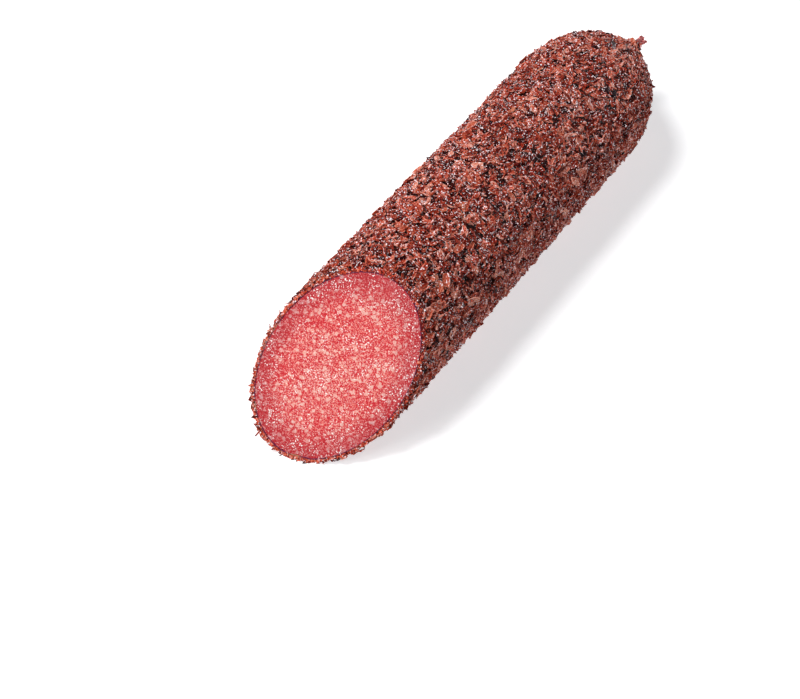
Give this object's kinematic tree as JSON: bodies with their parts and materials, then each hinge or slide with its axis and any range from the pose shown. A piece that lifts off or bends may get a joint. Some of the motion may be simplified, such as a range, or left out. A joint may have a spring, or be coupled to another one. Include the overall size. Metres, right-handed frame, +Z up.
{
  "type": "cured sausage",
  "caption": "Cured salami log in a crust of dried onion and pepper flakes, cut on the bias at one end and gathered to a small tail at the other; lies on its flattened underside.",
  "frame": {"origin": "on the surface that the sausage lies on, under the middle of its box", "axes": "+Z up, +Y along the sausage from its cut end to its gathered tail, +X to the side that the cut face is turned towards"},
  "size_m": [0.0836, 0.3538, 0.0808],
  "materials": {
    "meat": "satin",
    "casing": "satin",
    "coat": "matte",
    "flake_red": "satin",
    "flake_tan": "satin",
    "flake_brown": "satin",
    "flake_dark": "satin"
  },
  "bodies": {
    "root": {"cured_meat": "meat", "casing": "casing", "flake_coat": "coat", "large_flake_01": "flake_red", "large_flake_02": "flake_tan", "large_flake_03": "flake_brown", "large_flake_04": "flake_dark", "large_flake_05": "flake_red", "large_flake_06": "flake_tan", "large_flake_07": "flake_brown", "large_flake_08": "flake_dark", "large_flake_09": "flake_red", "large_flake_10": "flake_tan", "large_flake_11": "flake_brown", "large_flake_12": "flake_dark", "large_flake_13": "flake_red", "large_flake_14": "flake_tan", "large_flake_15": "flake_brown", "large_flake_16": "flake_dark", "large_flake_17": "flake_red", "large_flake_18": "flake_tan", "large_flake_19": "flake_brown", "large_flake_20": "flake_dark", "large_flake_21": "flake_red", "large_flake_22": "flake_tan", "large_flake_23": "flake_brown", "large_flake_24": "flake_dark", "large_flake_25": "flake_red", "large_flake_26": "flake_tan", "large_flake_27": "flake_brown", "large_flake_28": "flake_dark", "large_flake_29": "flake_red", "large_flake_30": "flake_tan", "large_flake_31": "flake_brown", "large_flake_32": "flake_dark", "large_flake_33": "flake_red", "large_flake_34": "flake_tan", "large_flake_35": "flake_brown", "large_flake_36": "flake_dark", "large_flake_37": "flake_red", "large_flake_38": "flake_tan", "large_flake_39": "flake_brown", "large_flake_40": "flake_dark", "large_flake_41": "flake_red", "large_flake_42": "flake_tan", "large_flake_43": "flake_brown", "large_flake_44": "flake_dark"}
  },
  "joints": []
}
